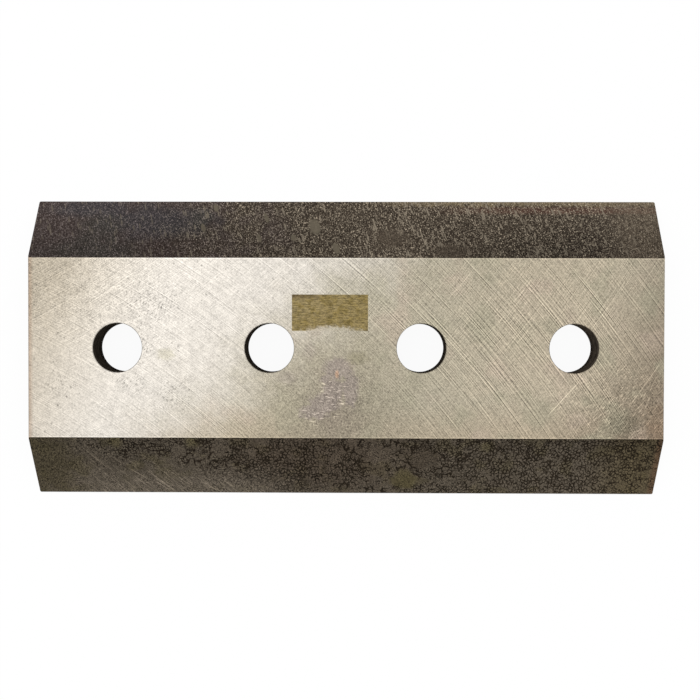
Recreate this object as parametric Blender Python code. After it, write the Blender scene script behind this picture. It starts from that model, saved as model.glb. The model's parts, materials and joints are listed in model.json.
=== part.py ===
"""Double-edged chipper knife: a hardened steel plate with a cutting edge along each long side.

The plate lies on its wide back face at Z = 0, with its length along X and its width along Y.
It is made in the order that the shop makes it: a ground bar with its ends eased, a bevel ground along
each long side down to the back face, and a row of bolt holes drilled through the flat land between them.
"""

import math

import bmesh
import bpy

MM = 0.001

# Plate
LENGTH = 265.2 * MM
WIDTH = 125.9 * MM
THICKNESS = 15.875 * MM
END_BREAK = 0.4 * MM

# Bevels: the angle is between a bevel and the back face, the flat is the blunt left on a ground edge
BEVEL_ANGLE = math.radians(31.5)
CUTTING_EDGE_FLAT = 0.25 * MM

# Bolt holes, one row along the middle of the land
BOLT_PITCH = 63.5 * MM
LEAST_END_MARGIN = 30.0 * MM
HOLE_DIAMETER = 20.64 * MM
HOLE_RIM_BREAK = 0.25 * MM

# Modelling
HOLE_SEGMENTS = 72
CUTTER_OVERRUN = 3.0 * MM
SMOOTH_BELOW = math.radians(20)

# Finishes: base colour, roughness
GROUND_STEEL = ((0.45, 0.41, 0.34), 0.42)
BEVEL_STEEL = ((0.075, 0.062, 0.050), 0.60)
BORE_STEEL = ((0.035, 0.031, 0.027), 0.65)


def clear_scene():
    for scene_object in list(bpy.data.objects):
        bpy.data.objects.remove(scene_object, do_unlink=True)


def steel(name, finish):
    colour, roughness = finish
    material = bpy.data.materials.new(name)
    material.use_nodes = True
    shader = material.node_tree.nodes["Principled BSDF"]
    shader.inputs["Base Color"].default_value = (*colour, 1.0)
    shader.inputs["Metallic"].default_value = 1.0
    shader.inputs["Roughness"].default_value = roughness
    return material


def add_object(name, mesh_data, material):
    """Turn a bmesh into an object of the scene, with its normals facing out."""
    bmesh.ops.recalc_face_normals(mesh_data, faces=mesh_data.faces)
    mesh = bpy.data.meshes.new(name)
    mesh_data.to_mesh(mesh)
    mesh_data.free()
    mesh.materials.append(material)
    made = bpy.data.objects.new(name, mesh)
    bpy.context.collection.objects.link(made)
    return made


def ground_bar(material):
    """The bar before its bevels, with every edge of both end faces eased."""
    bar = bmesh.new()
    bmesh.ops.create_cube(bar, size=1.0)
    bmesh.ops.scale(bar, vec=(LENGTH, WIDTH, THICKNESS), verts=bar.verts)
    bmesh.ops.translate(bar, vec=(0, 0, THICKNESS / 2), verts=bar.verts)
    ends = [face for face in bar.faces if abs(face.normal.x) > 0.5]
    end_edges = {edge for face in ends for edge in face.edges}
    bmesh.ops.bevel(bar, geom=list(end_edges), offset=END_BREAK, segments=1, affect="EDGES")
    return add_object("chipper_knife", bar, material)


def bevel_cutter(side, material):
    """What the grinder takes off one long side: a wedge above the plane of the bevel."""
    slope = math.tan(BEVEL_ANGLE)
    outer_y = WIDTH / 2 + CUTTER_OVERRUN
    top_z = THICKNESS + CUTTER_OVERRUN
    height_outside = CUTTING_EDGE_FLAT - CUTTER_OVERRUN * slope
    y_at_top = WIDTH / 2 - (top_z - CUTTING_EDGE_FLAT) / slope
    outline = [(outer_y, height_outside), (outer_y, top_z), (y_at_top, top_z)]

    wedge = bmesh.new()
    start_x = -LENGTH / 2 - CUTTER_OVERRUN
    corners = [wedge.verts.new((start_x, side * y, z)) for y, z in outline]
    profile = wedge.faces.new(corners)
    swept = bmesh.ops.extrude_face_region(wedge, geom=[profile])
    far_end = [item for item in swept["geom"] if isinstance(item, bmesh.types.BMVert)]
    bmesh.ops.translate(wedge, vec=(-2 * start_x, 0, 0), verts=far_end)
    name = "upper_bevel_cutter" if side > 0 else "lower_bevel_cutter"
    return as_cutter(add_object(name, wedge, material))


def hole_cutter(index, x, material):
    """The drill and its countersink at both faces, as one turned profile."""
    radius = HOLE_DIAMETER / 2
    flare = HOLE_RIM_BREAK + CUTTER_OVERRUN
    outline = [
        (0, -CUTTER_OVERRUN),
        (radius + flare, -CUTTER_OVERRUN),
        (radius, HOLE_RIM_BREAK),
        (radius, THICKNESS - HOLE_RIM_BREAK),
        (radius + flare, THICKNESS + CUTTER_OVERRUN),
        (0, THICKNESS + CUTTER_OVERRUN),
    ]
    drill = bmesh.new()
    points = [drill.verts.new((r, 0, z)) for r, z in outline]
    edges = [drill.edges.new(pair) for pair in zip(points, points[1:])]
    bmesh.ops.spin(
        drill,
        geom=points + edges,
        axis=(0, 0, 1),
        cent=(0, 0, 0),
        angle=2 * math.pi,
        steps=HOLE_SEGMENTS,
        use_merge=True,
    )
    bmesh.ops.remove_doubles(drill, verts=drill.verts, dist=1e-6)
    made = add_object(f"hole_cutter_{index + 1}", drill, material)
    made.data.shade_smooth()
    made.data.set_sharp_from_angle(angle=SMOOTH_BELOW)
    made.location.x = x
    return as_cutter(made)


def as_cutter(helper):
    helper.hide_render = True
    helper.display_type = "WIRE"
    return helper


def cut(target, cutter):
    """Subtract a cutter, whose material goes to the faces that it leaves."""
    boolean = target.modifiers.new(cutter.name, "BOOLEAN")
    boolean.operation = "DIFFERENCE"
    boolean.solver = "EXACT"
    boolean.material_mode = "TRANSFER"
    boolean.object = cutter


def hole_positions():
    """As many bolts as the length has room for at the fixed pitch, centred on the plate."""
    gaps = int((LENGTH - 2 * LEAST_END_MARGIN) / BOLT_PITCH)
    return [(index - gaps / 2) * BOLT_PITCH for index in range(gaps + 1)]


def chipper_knife():
    knife = ground_bar(steel("ground_steel", GROUND_STEEL))
    bevel_steel = steel("bevel_steel", BEVEL_STEEL)
    bore_steel = steel("bore_steel", BORE_STEEL)
    for side in (1, -1):
        cut(knife, bevel_cutter(side, bevel_steel))
    for index, x in enumerate(hole_positions()):
        cut(knife, hole_cutter(index, x, bore_steel))


clear_scene()
chipper_knife()
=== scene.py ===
# %% [markdown]
# # A used chipper knife
#
# This lesson dresses one piece of tool steel: a flat knife from a wood chipper, with a cutting bevel along
# each long side and four bolt holes. The shape is simple, so nearly all of its character is in the surface:
# the crossed arcs that a rotary grinder leaves, the dark scale on the bevels, and years of small marks. The
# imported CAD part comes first, because every size below is read from it.

import json
import math

import bmesh
import bpy
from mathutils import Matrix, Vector


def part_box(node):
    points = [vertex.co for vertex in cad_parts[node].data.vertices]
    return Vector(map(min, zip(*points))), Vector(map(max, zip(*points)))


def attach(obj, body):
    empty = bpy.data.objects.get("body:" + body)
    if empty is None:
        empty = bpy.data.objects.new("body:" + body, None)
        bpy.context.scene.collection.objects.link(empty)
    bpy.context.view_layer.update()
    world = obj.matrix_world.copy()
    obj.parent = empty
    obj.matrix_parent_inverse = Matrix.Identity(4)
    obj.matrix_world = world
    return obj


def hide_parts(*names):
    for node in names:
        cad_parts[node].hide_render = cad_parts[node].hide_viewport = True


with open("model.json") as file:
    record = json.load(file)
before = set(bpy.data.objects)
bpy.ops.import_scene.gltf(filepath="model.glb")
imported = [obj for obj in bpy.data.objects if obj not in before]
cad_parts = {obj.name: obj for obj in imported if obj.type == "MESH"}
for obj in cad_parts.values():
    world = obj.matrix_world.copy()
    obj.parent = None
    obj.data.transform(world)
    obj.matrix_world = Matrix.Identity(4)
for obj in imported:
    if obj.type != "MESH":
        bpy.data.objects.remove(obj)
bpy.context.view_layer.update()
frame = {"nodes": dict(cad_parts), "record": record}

# %% [markdown]
# ## Sizes
#
# The knife is measured, not retyped. The land is the flat strip between the bevels, so its half width is the
# furthest that any vertex of the top face reaches. The vertices around a hole lie on two circles: the bore
# itself and the rim, which is a little wider because its edge is broken. Work is in millimetres from here.

# %% Measure the plate and its holes
MM = 0.001
NEAR = 0.01

low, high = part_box("chipper_knife")
cad_points = [vertex.co / MM for vertex in frame["nodes"]["chipper_knife"].data.vertices]
half_length = (high.x - low.x) / 2 / MM
half_width = (high.y - low.y) / 2 / MM
thickness = (high.z - low.z) / MM

hole_centres = []
for opening in frame["record"]["physics"]["openings"]:
    near, far = opening["box_m"]
    hole_centres.append((near[0] + far[0]) / 2 / MM)

on_top = [p for p in cad_points if p.z > thickness - NEAR]
half_land = max(p.y for p in on_top)
end_break = half_length - max(p.x for p in on_top)
edge_flat = max(p.z for p in cad_points if p.y > half_width - NEAR)
around_hole = [math.hypot(p.x - hole_centres[0], p.y) for p in cad_points]
bore_radius = min(around_hole)
rim_radius = max(reach for reach in around_hole if reach < bore_radius * 1.2)
bevel_slope = (thickness - edge_flat) / (half_width - half_land)
bevel_angle = math.atan(bevel_slope)

print(f"plate {2 * half_length:.1f} x {2 * half_width:.1f} x {thickness:.3f} mm, land {2 * half_land:.2f} mm")
print(f"bevels at {math.degrees(bevel_angle):.1f} degrees, edge flat {edge_flat:.2f} mm")
print(f"holes at {[round(x, 2) for x in hole_centres]}, bore {bore_radius:.2f}, rim {rim_radius:.2f} mm")

# %% [markdown]
# ## The camera
#
# The photograph looks straight down on the knife. The depth of the bore walls that it shows on the left of
# the first hole and on the right of the last one says how near the camera stood: about 0.43 m. A camera
# turned by less than a degree puts the corners of the land and the holes where the photograph has them.

# %% Set up the camera
SENSOR_WIDTH = 36.0
LENS = 50.77
CAMERA_TURNS = (-0.909, 0.562, 0.148)
CAMERA_PLACE = (6.0, 5.78, 427.05)

camera_data = bpy.data.cameras.new("bench_camera")
camera_data.sensor_width = SENSOR_WIDTH
camera_data.lens = LENS
camera = bpy.data.objects.new("bench_camera", camera_data)
camera.rotation_mode = "ZYX"
camera.rotation_euler = [math.radians(angle) for angle in CAMERA_TURNS]
camera.location = Vector(CAMERA_PLACE) * MM
bpy.context.collection.objects.link(camera)
bpy.context.scene.camera = camera
print("camera stands", round(camera.location.z, 3), "m above the bench")

# %% [markdown]
# ## Formulas for shader nodes
#
# A shader tree in code is hard to read as a list of nodes and links. Here each node's output is wrapped in a
# Signal, which can be added and multiplied like a number, and every such step adds the Math node for it. The
# bench holds the tree and makes the nodes that are more than arithmetic.

# %% Signals and the bench
class Signal:
    """A node's output. Arithmetic on it adds Math nodes, or Vector Math nodes for places and colours."""

    def __init__(self, bench, socket):
        self.bench = bench
        self.socket = socket
        self.many = socket.type in ("VECTOR", "RGBA")

    def step(self, operation, first, second):
        if self.many or getattr(first, "many", False) or getattr(second, "many", False):
            return self.bench.vector(operation, first, second)
        return self.bench.math(operation, first, second)

    def __add__(self, other):
        return self.step("ADD", self, other)

    def __sub__(self, other):
        return self.step("SUBTRACT", self, other)

    def __rsub__(self, other):
        return self.step("SUBTRACT", other, self)

    def __mul__(self, other):
        return self.step("MULTIPLY", self, other)

    def __truediv__(self, other):
        return self.step("DIVIDE", self, other)

    __radd__ = __add__
    __rmul__ = __mul__


class Bench:
    """Adds nodes to one tree. Any input may be a number, a tuple or a Signal."""

    def __init__(self, tree):
        self.tree = tree

    def feed(self, socket, value):
        if isinstance(value, Signal):
            self.tree.links.new(value.socket, socket)
        elif socket.type == "RGBA":
            socket.default_value = (*value, 1.0)
        elif socket.type == "VECTOR" and not isinstance(value, tuple):
            socket.default_value = (value, value, value)
        else:
            socket.default_value = value

    def put(self, kind, inputs, output=0, **settings):
        """Add a node, feed its inputs by name or number, and return one output."""
        made = self.tree.nodes.new(kind)
        for name, value in settings.items():
            setattr(made, name, value)
        for name, value in inputs.items():
            self.feed(made.inputs[name], value)
        return Signal(self, made.outputs[output])

    def math(self, operation, *values):
        return self.put("ShaderNodeMath", dict(enumerate(values)), operation=operation)

    def vector(self, operation, *values):
        output = "Value" if operation in ("LENGTH", "DOT_PRODUCT") else "Vector"
        return self.put("ShaderNodeVectorMath", dict(enumerate(values)), output, operation=operation)


print("Signals can be added, subtracted, multiplied and divided")

# %% [markdown]
# The rest of the bench follows: a soft ramp between two values, a noise, a turn about the vertical, and a
# wander that bends whatever is drawn after it. They are the whole vocabulary of the finishes below.

# %% More of the bench
def ramp(bench, value, start, end, low_value=0.0, high_value=1.0):
    """A soft ramp: low_value up to start, high_value from end on. Start may be the larger one."""
    inputs = dict(enumerate((value, start, end, low_value, high_value)))
    return bench.put("ShaderNodeMapRange", inputs, interpolation_type="SMOOTHSTEP")


def split(bench, value):
    made = bench.put("ShaderNodeSeparateXYZ", {0: value})
    return [Signal(bench, socket) for socket in made.socket.node.outputs]


def join(bench, x, y, z):
    return bench.put("ShaderNodeCombineXYZ", {0: x, 1: y, 2: z})


def noise(bench, place, scale=1.0, detail=2.0, roughness=0.5):
    inputs = {"Vector": place, "Scale": scale, "Detail": detail, "Roughness": roughness}
    return bench.put("ShaderNodeTexNoise", inputs, "Fac")


def turn(bench, place, angle):
    """The place turned about Z, in radians."""
    return bench.put("ShaderNodeVectorRotate", {"Vector": place, "Angle": angle}, rotation_type="Z_AXIS")


def wander(bench, place, scale, reach):
    """The place pushed about by a noise, so that nothing drawn there is quite straight."""
    push = bench.put("ShaderNodeTexNoise", {"Vector": place, "Scale": scale, "Detail": 2.0}, "Color")
    return place + (push - 0.5) * reach


def blend(bench, mask, below, above):
    """Colour above over colour below, where mask is 1."""
    return bench.put("ShaderNodeMix", {0: mask, 6: below, 7: above}, 2, data_type="RGBA", clamp_factor=True)


def use(bench, name, **inputs):
    """Place a shared node group and return its outputs by name. Input names have _ for a space."""
    node = bench.tree.nodes.new("ShaderNodeGroup")
    node.node_tree = bpy.data.node_groups[name]
    for key, value in inputs.items():
        bench.feed(node.inputs[key.replace("_", " ")], value)
    return {socket.name: Signal(bench, socket) for socket in node.outputs}


# %% [markdown]
# ## Shared effects as node groups
#
# An effect that several finishes share is a node group with named inputs and outputs. It is built once, and
# each material places it with its own values.

# %% Start a node group
def start_group(name, inputs, outputs):
    """inputs maps a name to its default: a number makes a value socket, and a tuple a vector socket."""
    tree = bpy.data.node_groups.new(name, "ShaderNodeTree")
    for label, default in inputs.items():
        kind = "NodeSocketVector" if isinstance(default, tuple) else "NodeSocketFloat"
        tree.interface.new_socket(label, in_out="INPUT", socket_type=kind).default_value = default
    for label in outputs:
        tree.interface.new_socket(label, in_out="OUTPUT", socket_type="NodeSocketFloat")
    bench = Bench(tree)
    given = {s.name: Signal(bench, s) for s in tree.nodes.new("NodeGroupInput").outputs if s.name}
    result = tree.nodes.new("NodeGroupOutput").inputs
    return bench, given, result


ORIGIN = (0.0, 0.0, 0.0)

# %% [markdown]
# ### Grinding arcs
#
# A rotary grinder drives a cup wheel over plates that turn on a round table. Each grain of the wheel cuts a
# long arc, and the two sides of the wheel's path cross, so the land carries two mirrored families of arcs. A
# noise stretched along circles around the wheel's centre draws one family: its first coordinate is the
# distance from that centre, and its second the length along the circle. A groove has a lit and a dark side,
# which is painted here as light and shade: each line is the noise less the same noise one step further out.
# Scratches are only the peaks of a longer noise, drawn the same way, and bundles are a slow swelling that
# makes some arcs stronger.

# %% Node group: one family of grinding arcs
WHEEL_REACH = 390.0
WHEEL_CENTRE = (-268.0, -279.0, 0.0)
MIRRORED_CENTRE = (-268.0, 279.0, 0.0)
STEP_OUT = 0.8


def make_grinding_arcs():
    inputs = {"Place": ORIGIN, "Wheel Centre": WHEEL_CENTRE, "Spacing": 0.39, "Run": 24.0, "Seed": 0.0}
    bench, given, result = start_group("grinding_arcs", inputs, ["Lines", "Scratches", "Bundles"])
    x, y, z = split(bench, given["Place"] - given["Wheel Centre"])
    across = bench.math("SQRT", x * x + y * y) / given["Spacing"]
    along = bench.math("ARCTAN2", y, x) * WHEEL_REACH / given["Run"]
    seed = given["Seed"] + 0.37

    def lit_side(stretch, offset, start, stop):
        """A noise along the arcs less the same noise one step further out: a painted lit side and dark side.
        """
        sides = []
        for step in (0.0, STEP_OUT):
            field = noise(bench, join(bench, across + step, along * stretch, seed + offset), 1.0, 0.0)
            sides.append(ramp(bench, field, start, stop))
        return sides[0] - sides[1] * 0.75

    bench.feed(result["Lines"], lit_side(1.0, 0.0, 0.3, 0.7) - 0.12)
    bench.feed(result["Scratches"], lit_side(0.35, 11.0, 0.62, 0.76))
    slow = noise(bench, join(bench, across * 0.16, along * 0.7, seed), 1.0, 2.0, 0.6)
    bench.feed(result["Bundles"], ramp(bench, slow, 0.35, 0.66))


make_grinding_arcs()
print("group made:", bpy.data.node_groups[-1].name)

# %% [markdown]
# ### Soft spots, and lines of wear and painted highlight
#
# Stains, tints and rubbed places are ovals with a torn border. The reach from the centre is measured in half
# sizes, so 1 is the border of the oval, and a noise pushes that border in and out. A worn line is a lighter
# strip along an edge: rubbed bare, and on the land's edges also a painted highlight on the arris. It takes
# the distance to that edge in millimetres.

# %% Node groups: a soft spot and a line of wear and painted highlight
def make_soft_spot():
    inputs = {
        "Place": ORIGIN,
        "Centre": ORIGIN,
        "Half Size": (10.0, 10.0, 1.0),
        "Turn": 0.0,
        "Feather": 0.5,
        "Raggedness": 0.3,
        "Ragged Size": 5.0,
    }
    bench, given, result = start_group("soft_spot", inputs, ["Mask"])
    offset = turn(bench, given["Place"] - given["Centre"], given["Turn"])
    x, y, z = split(bench, offset / given["Half Size"])
    reach = bench.vector("LENGTH", join(bench, x, y, 0.0))
    torn = noise(bench, given["Place"] / given["Ragged Size"], 1.0, 3.0, 0.6)
    border = reach + (torn - 0.5) * given["Raggedness"] * 4.0
    bench.feed(result["Mask"], ramp(bench, border, given["Feather"] + 1.0, 1.0 - given["Feather"]))


def make_wear_and_glint_line():
    inputs = {"Place": ORIGIN, "Distance": 0.0, "Width": 0.5}
    bench, given, result = start_group("worn_line", inputs, ["Mask"])
    swell = ramp(bench, noise(bench, given["Place"], 0.5, 3.0, 0.65), 0.3, 0.7, 0.35, 1.6)
    width = given["Width"] * swell
    apart = bench.math("ABSOLUTE", given["Distance"])
    bench.feed(result["Mask"], ramp(bench, apart, width, width * 0.3))


make_soft_spot()
make_wear_and_glint_line()
print("groups:", len(bpy.data.node_groups))

# %% [markdown]
# ### Flecks, speckle and crackle
#
# A Voronoi texture divides the steel into cells, and a mark that fills the middle of some cells makes flecks;
# small round ones are pits. Speckle is much finer and has no cells: it is a stretched noise, cut off at a
# level, like the grain of a casting. Crackle is heat scale that has cracked and flaked away between smooth
# islands. Its dark veins follow the borders between the cells, and two noises make them thick in one place
# and break them off in the next. Crowd widens them, so that the flaked places crowd together.

# %% Node groups: flecks, speckle and crackle
def make_flecks():
    inputs = {"Place": ORIGIN, "Size": 0.8, "Stretch": 2.0, "Turn": 0.0, "Cover": 0.5, "Seed": 0.0}
    bench, given, result = start_group("flecks", inputs, ["Mask", "Tone"])
    x, y, z = split(bench, turn(bench, given["Place"], given["Turn"]))
    size = given["Size"]
    local = join(bench, x / size + given["Seed"] * 7.3, y / (size * given["Stretch"]), 0.0)
    warped = wander(bench, local, 1.3, 0.3)
    inputs = {"Vector": warped, "Scale": 1.0, "Randomness": 0.85}
    cells = bench.put("ShaderNodeTexVoronoi", inputs, "Distance", voronoi_dimensions="2D")
    drawn = Signal(bench, cells.socket.node.outputs["Color"])
    chance, breadth, tone = split(bench, drawn)
    radius = breadth * 0.32 + 0.18
    inside = ramp(bench, cells - radius, 0.09, -0.06)
    chosen = ramp(bench, chance - given["Cover"], 0.0, -0.02)
    bench.feed(result["Mask"], inside * chosen)
    bench.feed(result["Tone"], tone)


def make_speckle():
    inputs = {"Place": ORIGIN, "Size": 0.42, "Stretch": 2.0, "Turn": 0.0, "Level": 0.5, "Seed": 0.0}
    bench, given, result = start_group("speckle", inputs, ["Mask"])
    x, y, z = split(bench, turn(bench, given["Place"], given["Turn"]))
    size = given["Size"]
    local = join(bench, x / size, y / (size * given["Stretch"]), given["Seed"])
    above = noise(bench, local, 1.0, 1.0, 0.45) - given["Level"]
    bench.feed(result["Mask"], ramp(bench, above, -0.04, 0.1))


def make_crackle():
    inputs = {"Place": ORIGIN, "Grain": 1.5, "Crowd": 0.5, "Seed": 0.0}
    bench, given, result = start_group("crackle", inputs, ["Mask"])
    x, y, z = split(bench, given["Place"] / given["Grain"])
    local = join(bench, x, y, given["Seed"])
    warped = wander(bench, local, 1.2, 0.9)
    settings = {"Vector": warped, "Scale": 1.0}
    kind = {"voronoi_dimensions": "2D", "feature": "DISTANCE_TO_EDGE"}
    to_vein = bench.put("ShaderNodeTexVoronoi", settings, "Distance", **kind)
    rough = noise(bench, local, 1.7, 1.0) + noise(bench, local, 0.42, 1.0)
    above = given["Crowd"] * 0.25 - 0.08 + (rough - 1.0) * 0.45 - to_vein
    bench.feed(result["Mask"], ramp(bench, above, -0.06, 0.06))


make_flecks()
make_speckle()
make_crackle()
print("groups:", len(bpy.data.node_groups))

# %% [markdown]
# ### Rubs, single scratches and grain
#
# Rubs are short straight scratches that all run one way, from a stretched noise. A single scratch is drawn
# from one point to another, for the few marks that the eye picks out and that chance would not put in the
# right place. Grain is the unevenness that no steel is without, in three sizes.

# %% Node groups: rubs, a single scratch and steel grain
def make_rubs():
    inputs = {"Place": ORIGIN, "Turn": 0.0, "Spacing": 0.5, "Run": 8.0, "Threshold": 0.6, "Seed": 0.0}
    bench, given, result = start_group("rubs", inputs, ["Mask"])
    x, y, z = split(bench, turn(bench, given["Place"], given["Turn"]))
    local = join(bench, x / given["Run"], y / given["Spacing"], given["Seed"])
    streak = noise(bench, local) - given["Threshold"]
    bench.feed(result["Mask"], ramp(bench, streak, 0.0, 0.09))


def make_single_scratch():
    inputs = {"Place": ORIGIN, "Start": ORIGIN, "End": (10.0, 0.0, 0.0), "Width": 0.25}
    bench, given, result = start_group("single_scratch", inputs, ["Mask"])
    line = given["End"] - given["Start"]
    offset = given["Place"] - given["Start"]
    share = bench.vector("DOT_PRODUCT", offset, line) / bench.vector("DOT_PRODUCT", line, line)
    apart = bench.vector("LENGTH", offset - line * share)
    body = ramp(bench, apart, given["Width"], given["Width"] * 0.3)
    ends = ramp(bench, share, 0.0, 0.2) * ramp(bench, share, 1.0, 0.8)
    bench.feed(result["Mask"], body * ends)


def make_steel_grain():
    outputs = ["Fine", "Mottle", "Blotches"]
    bench, given, result = start_group("steel_grain", {"Place": ORIGIN, "Seed": 0.0}, outputs)
    shifted = given["Place"] + join(bench, 0.0, 0.0, given["Seed"])
    for label, scale, detail in (("Fine", 2.2, 2.0), ("Mottle", 0.45, 3.0), ("Blotches", 0.07, 3.0)):
        level = noise(bench, shifted, scale, detail, 0.6)
        bench.feed(result[label], ramp(bench, level, 0.28, 0.72, -1.0, 1.0))


make_rubs()
make_single_scratch()
make_steel_grain()
print("groups:", [group.name for group in bpy.data.node_groups])

# %% [markdown]
# ## How a finish is built up
#
# A worn surface is a sequence of events, so each finish is built in layers. A stain changes the colour. A
# mark makes the steel lighter or darker, rougher or smoother, higher or lower, all through one mask, as a
# real scratch does. Places are in millimetres of the knife itself, so that marks stay put when the camera
# moves. Colours are written as a screen shows them, from 0 to 255, and turned into Blender's linear values.

# %% The layers of a finish
def seen(red, green, blue):
    """A colour as a screen shows it, as linear values."""
    shares = [value / 255 for value in (red, green, blue)]
    return tuple(s / 12.92 if s <= 0.04045 else ((s + 0.055) / 1.055) ** 2.4 for s in shares)


class Finish:
    """A steel surface built up from stains and marks."""

    def __init__(self, name, colour, roughness, metallic=1.0, specular=0.5):
        self.material = bpy.data.materials.new(name)
        self.material.use_nodes = True
        self.bench = Bench(self.material.node_tree)
        self.shader = self.material.node_tree.nodes["Principled BSDF"]
        self.shader.inputs["Metallic"].default_value = metallic
        self.shader.inputs["Specular IOR Level"].default_value = specular
        local = self.bench.put("ShaderNodeTexCoord", {}, "Object")
        self.place = local * (1 / MM)
        self.x, self.y, self.z = split(self.bench, self.place)
        self.colour, self.tone, self.roughness, self.height = colour, 1.0, roughness, 0.0

    def use(self, name, **inputs):
        return use(self.bench, name, Place=self.place, **inputs)

    def spot(self, x, y, half_x, half_y, **settings):
        """The mask of a soft spot."""
        half_size = (half_x, half_y, 1.0)
        return self.use("soft_spot", Centre=(x, y, 0.0), Half_Size=half_size, **settings)["Mask"]

    def spots(self, ovals, **settings):
        """One mask for several soft spots, each given as x, y and its two half sizes."""
        mask = 0.0
        for oval in ovals:
            mask = self.spot(*oval, **settings) + mask
        return self.bench.math("MINIMUM", mask, 1.0)

    def ramp(self, *values):
        return ramp(self.bench, *values)

    def stain(self, mask, colour, strength=1.0):
        self.colour = blend(self.bench, mask * strength, self.colour, colour)

    def mark(self, mask, tone=0.0, roughness=0.0, height=0.0):
        """Where mask is 1, add to the tone (a share), the roughness and the height (in millimetres)."""
        if tone != 0.0:
            self.tone = mask * tone + self.tone
        if roughness != 0.0:
            self.roughness = mask * roughness + self.roughness
        if height != 0.0:
            self.height = mask * height + self.height

    def done(self):
        bench, inputs = self.bench, self.shader.inputs
        toned = bench.vector("MULTIPLY", self.colour, bench.math("MAXIMUM", self.tone, 0.15))
        bench.feed(inputs["Base Color"], bench.vector("MINIMUM", toned, 0.92))
        held = bench.math("MAXIMUM", self.roughness, 0.2)
        bench.feed(inputs["Roughness"], bench.math("MINIMUM", held, 0.95))
        bump = bench.put("ShaderNodeBump", {"Height": self.height, "Distance": MM}, "Normal")
        bench.feed(inputs["Normal"], bump)
        print(f"finish {self.material.name}: {len(self.material.node_tree.nodes)} nodes")


# %% [markdown]
# ## The ground land
#
# The land is bare steel off the grinder. On the left it is bright and nearly even, with the arcs only just
# visible: that brightness is partly cleaner steel and partly a painted highlight, a broad reflection held in
# the colour. To the right it is tan and the arcs are crisp, and the border between the two runs slantwise.
# The
# base colours come first: a slanting ramp whose border is broken by large blotches, then the duller ends.

# %% Land: base colours
CLEAN_STEEL_AND_HIGHLIGHT = seen(206, 200, 191)
TAN_STEEL = seen(171, 163, 144)
WARM_STEEL = seen(186, 174, 153)
DULL_STEEL = seen(177, 167, 150)
CORNER_STEEL = seen(140, 130, 112)
BROWNED_STEEL = seen(138, 125, 108)
LOW_STEEL = seen(170, 155, 133)

land = Finish("ground_land", TAN_STEEL, 0.4)
land_grain = land.use("steel_grain", Seed=3.0)
slant = land.x * 0.7 - land.y * 0.76 + land_grain["Blotches"] * 5.0
clean_and_highlight_side = land.ramp(slant, 6.0, -50.0)
tan_side = 1.0 - clean_and_highlight_side
land.stain(land.spot(92.0, 0.0, 38.0, 60.0, Feather=0.7), WARM_STEEL, 0.8)
land.stain(land.ramp(land.y, -20.0, -38.0), LOW_STEEL, 0.55)
# Painted highlight: this bright left side is partly cleaner steel and partly a broad reflection in the
# colour.
land.stain(clean_and_highlight_side, CLEAN_STEEL_AND_HIGHLIGHT)
# The painted highlight is dimmed again towards the left end and the upper left corner.
land.stain(land.ramp(land.x - land.y * 0.45, -80.0, -138.0), DULL_STEEL, 0.8)
land.stain(land.spot(-134.0, 42.0, 22.0, 30.0, Feather=0.7), CORNER_STEEL, 0.5)
land.stain(land.ramp(land.x - land.y * 0.5, 90.0, 150.0), BROWNED_STEEL)

# %% [markdown]
# ### Casts and rust
#
# Old oil and damp leave faint casts of green and pink on the tan side. The lower right corner has grown rough
# around a greenish damp stain, and rust has begun there and along the left end.

# %% Land: casts and rust
GREEN_CAST = seen(158, 153, 132)
PINK_CAST = seen(182, 165, 149)
RUST = seen(142, 112, 88)
DAMP_STAIN = seen(112, 108, 92)

cast = noise(land.bench, land.place, 0.06, 2.0, 0.5)
land.stain(land.ramp(cast, 0.5, 0.66) * tan_side, GREEN_CAST, 0.5)
land.stain(land.ramp(cast, 0.46, 0.3) * tan_side, PINK_CAST, 0.4)

rough_corner = land.spot(120.0, -28.0, 24.0, 20.0, Feather=0.7, Raggedness=0.4, Ragged_Size=5.0)
rusty = land.spot(133.0, -35.0, 8.0, 9.0, Feather=0.7, Raggedness=0.5, Ragged_Size=3.0)
land.stain(rusty, RUST, 0.28)
land.stain(land.spot(116.0, -32.0, 6.0, 4.5, Feather=0.7, Ragged_Size=2.0), DAMP_STAIN, 0.5)
land.mark(rough_corner, roughness=0.15)
land.stain(land.ramp(land.x, -130.0, -132.3), RUST, 0.45)

# %% [markdown]
# ### The handled middle
#
# Below the etched field the land has been handled: the arcs are nearly rubbed out, and one broad dark smudge
# has smaller ones on it. Short light scribbles and a few upright rubs lie over them. Where the smudges sit is
# seen in the photograph, and their torn borders come from the soft spot.

# %% Land: smudges and scribbles
HANDLED_STEEL = seen(146, 138, 120)
SMUDGE = seen(146, 135, 127)
DARK_SMUDGE = seen(130, 119, 108)
OLIVE_SMUDGE = seen(128, 122, 98)
ORANGE_DOT = seen(200, 150, 112)
SMUDGES = (
    (-3.4, -8.3, 5.4, 4.2),
    (2.4, -16.6, 3.0, 7.5),
    (-4.7, -17.4, 4.4, 4.0),
    (-8.4, -22.9, 6.4, 3.8),
    (-13.0, -26.7, 6.0, 3.0),
    (-8.0, -13.0, 2.4, 1.6),
)
FAINT_SMUDGES = ((-15.1, -1.6, 2.6, 3.4), (-24.3, -12.1, 4.0, 2.5))
SCRIBBLED = (
    (-3.4, -20.4, 7.5, 4.0),
    (-7.2, -15.8, 3.6, 2.6),
    (-11.3, -27.9, 8.0, 2.6),
)

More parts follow.
